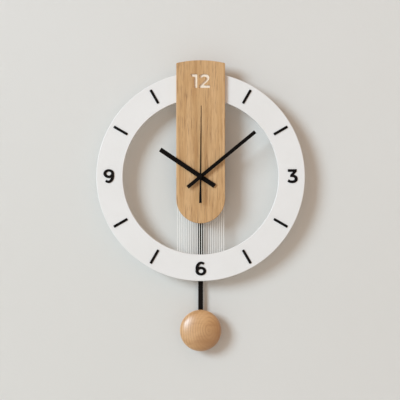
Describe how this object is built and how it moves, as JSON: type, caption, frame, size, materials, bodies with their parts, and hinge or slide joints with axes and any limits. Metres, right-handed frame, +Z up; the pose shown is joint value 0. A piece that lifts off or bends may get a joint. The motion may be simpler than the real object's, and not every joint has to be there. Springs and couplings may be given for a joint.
{
  "type": "pendulum wall clock",
  "caption": "Quartz wall clock: a flat white dial ring on a rounded oak board, with bar hands, taut white threads below and a swinging pendulum with a turned wooden bob.",
  "frame": {"origin": "the point on the wall plane where the wall hook or screw carries the hanger, 78 mm above the hands' axis", "axes": "+Z up, +X to the viewer's right, +Y into the wall, so the dial faces -Y"},
  "size_m": [0.3, 0.0422, 0.419],
  "materials": {
    "oak": "clear matt lacquer over straight-grained oak",
    "beech": "turned beech, clear satin lacquer",
    "white_lacquer": "white satin lacquer on fibreboard",
    "white_paint": "cream white paint",
    "numeral_black": "matt black",
    "hand_black": "satin black lacquer on stamped aluminium, an assumed metal that sets the hands' mass",
    "rod_black": "satin black",
    "thread": "twisted white cotton cord",
    "case_plastic": "fine-grained moulded plastic",
    "wheel_plastic": "natural acetal",
    "red_plastic": "dyed acetal",
    "brass": "satin",
    "steel": "satin, zinc plated",
    "zinc": "bright zinc plate",
    "copper": "enamelled copper wire",
    "circuit_green": "solder resist",
    "chip_black": "moulded epoxy",
    "ferrite": "sintered ferrite",
    "battery_wrap": "printed shrink sleeve"
  },
  "bodies": {
    "clock_frame": {"oak_board": "oak", "dial_ring": "white_lacquer", "inlay_one": "white_paint", "inlay_two": "white_paint", "numeral_three": "numeral_black", "numeral_six": "numeral_black", "numeral_nine": "numeral_black", "hour_bar_1": "numeral_black", "hour_bar_2": "numeral_black", "hour_bar_4": "numeral_black", "hour_bar_5": "numeral_black", "hour_bar_7": "numeral_black", "hour_bar_8": "numeral_black", "hour_bar_10": "numeral_black", "hour_bar_11": "numeral_black", "ring_screw_left": "zinc", "ring_screw_right": "zinc", "stator": "steel", "motor_coil": "copper", "middle_plate": "case_plastic", "circuit_board": "circuit_green", "control_chip": "chip_black", "quartz_crystal": "zinc", "case_front": "case_plastic", "case_back": "case_plastic", "case_screw_left": "zinc", "case_screw_right": "zinc", "case_screw_low": "zinc", "aa_battery": "battery_wrap", "contact_plus": "steel", "contact_minus": "steel", "coil_bobbin": "wheel_plastic", "pendulum_coil": "copper", "pivot_pin": "steel", "wall_hanger": "steel", "hanger_screw_left": "zinc", "hanger_screw_right": "zinc", "threads": "thread", "upper_thread_bar": "oak", "lower_thread_bar": "white_lacquer"},
    "minute_train": {"minute_hand": "hand_black", "cannon_pinion": "brass", "centre_wheel": "brass"},
    "hour_train": {"hour_hand": "hand_black", "hour_wheel": "wheel_plastic"},
    "second_train": {"second_hand": "hand_black", "second_wheel": "wheel_plastic"},
    "minute_reduction": {"minute_wheel": "wheel_plastic"},
    "third_train": {"third_wheel": "wheel_plastic"},
    "intermediate_train": {"intermediate_wheel": "red_plastic"},
    "rotor": {"rotor_pinion": "wheel_plastic", "rotor_magnet": "ferrite"},
    "knob": {"setting_knob": "red_plastic"},
    "pendulum": {"swing_arm": "wheel_plastic", "swing_magnet": "ferrite", "pendulum_hook": "steel", "pendulum_rod": "rod_black", "pendulum_bob": "beech", "bob_screw": "zinc"}
  },
  "joints": [
    {"name": "minute_hand_turn", "type": "hinge", "parent": "clock_frame", "child": "minute_train", "pos_m": [0, -0.03845, -0.078], "axis": [0, 1, 0], "continuous": true},
    {"name": "hour_hand_turn", "type": "hinge", "parent": "clock_frame", "child": "hour_train", "pos_m": [0, -0.0355, -0.078], "axis": [0, 1, 0], "continuous": true},
    {"name": "second_hand_turn", "type": "hinge", "parent": "clock_frame", "child": "second_train", "pos_m": [0, -0.0409, -0.078], "axis": [0, 1, 0], "continuous": true},
    {"name": "minute_wheel_turn", "type": "hinge", "parent": "clock_frame", "child": "minute_reduction", "pos_m": [0.01128, -0.0171, -0.0821], "axis": [0, 1, 0], "continuous": true},
    {"name": "third_wheel_turn", "type": "hinge", "parent": "clock_frame", "child": "third_train", "pos_m": [0.00326, -0.01375, -0.06583], "axis": [0, 1, 0], "continuous": true},
    {"name": "intermediate_wheel_turn", "type": "hinge", "parent": "clock_frame", "child": "intermediate_train", "pos_m": [-0.00156, -0.0126, -0.08686], "axis": [0, 1, 0], "continuous": true},
    {"name": "rotor_turn", "type": "hinge", "parent": "clock_frame", "child": "rotor", "pos_m": [0.00278, -0.01385, -0.09438], "axis": [0, 1, 0], "continuous": true},
    {"name": "setting_knob_turn", "type": "hinge", "parent": "clock_frame", "child": "knob", "pos_m": [0.02255, -0.007, -0.08621], "axis": [0, 1, 0], "continuous": true},
    {"name": "pendulum_swing", "type": "hinge", "parent": "clock_frame", "child": "pendulum", "pos_m": [0, -0.0083, -0.026], "axis": [0, 1, 0], "range_deg": [-6, 6]}
  ],
  "couplings": [
    {"joint": "hour_hand_turn", "follows": "minute_hand_turn", "ratio": 0.083333},
    {"joint": "second_hand_turn", "follows": "minute_hand_turn", "ratio": 60},
    {"joint": "minute_wheel_turn", "follows": "minute_hand_turn", "ratio": -0.33333},
    {"joint": "third_wheel_turn", "follows": "minute_hand_turn", "ratio": -8},
    {"joint": "intermediate_wheel_turn", "follows": "minute_hand_turn", "ratio": -300},
    {"joint": "rotor_turn", "follows": "minute_hand_turn", "ratio": 1800},
    {"joint": "setting_knob_turn", "follows": "minute_hand_turn", "ratio": 1}
  ]
}
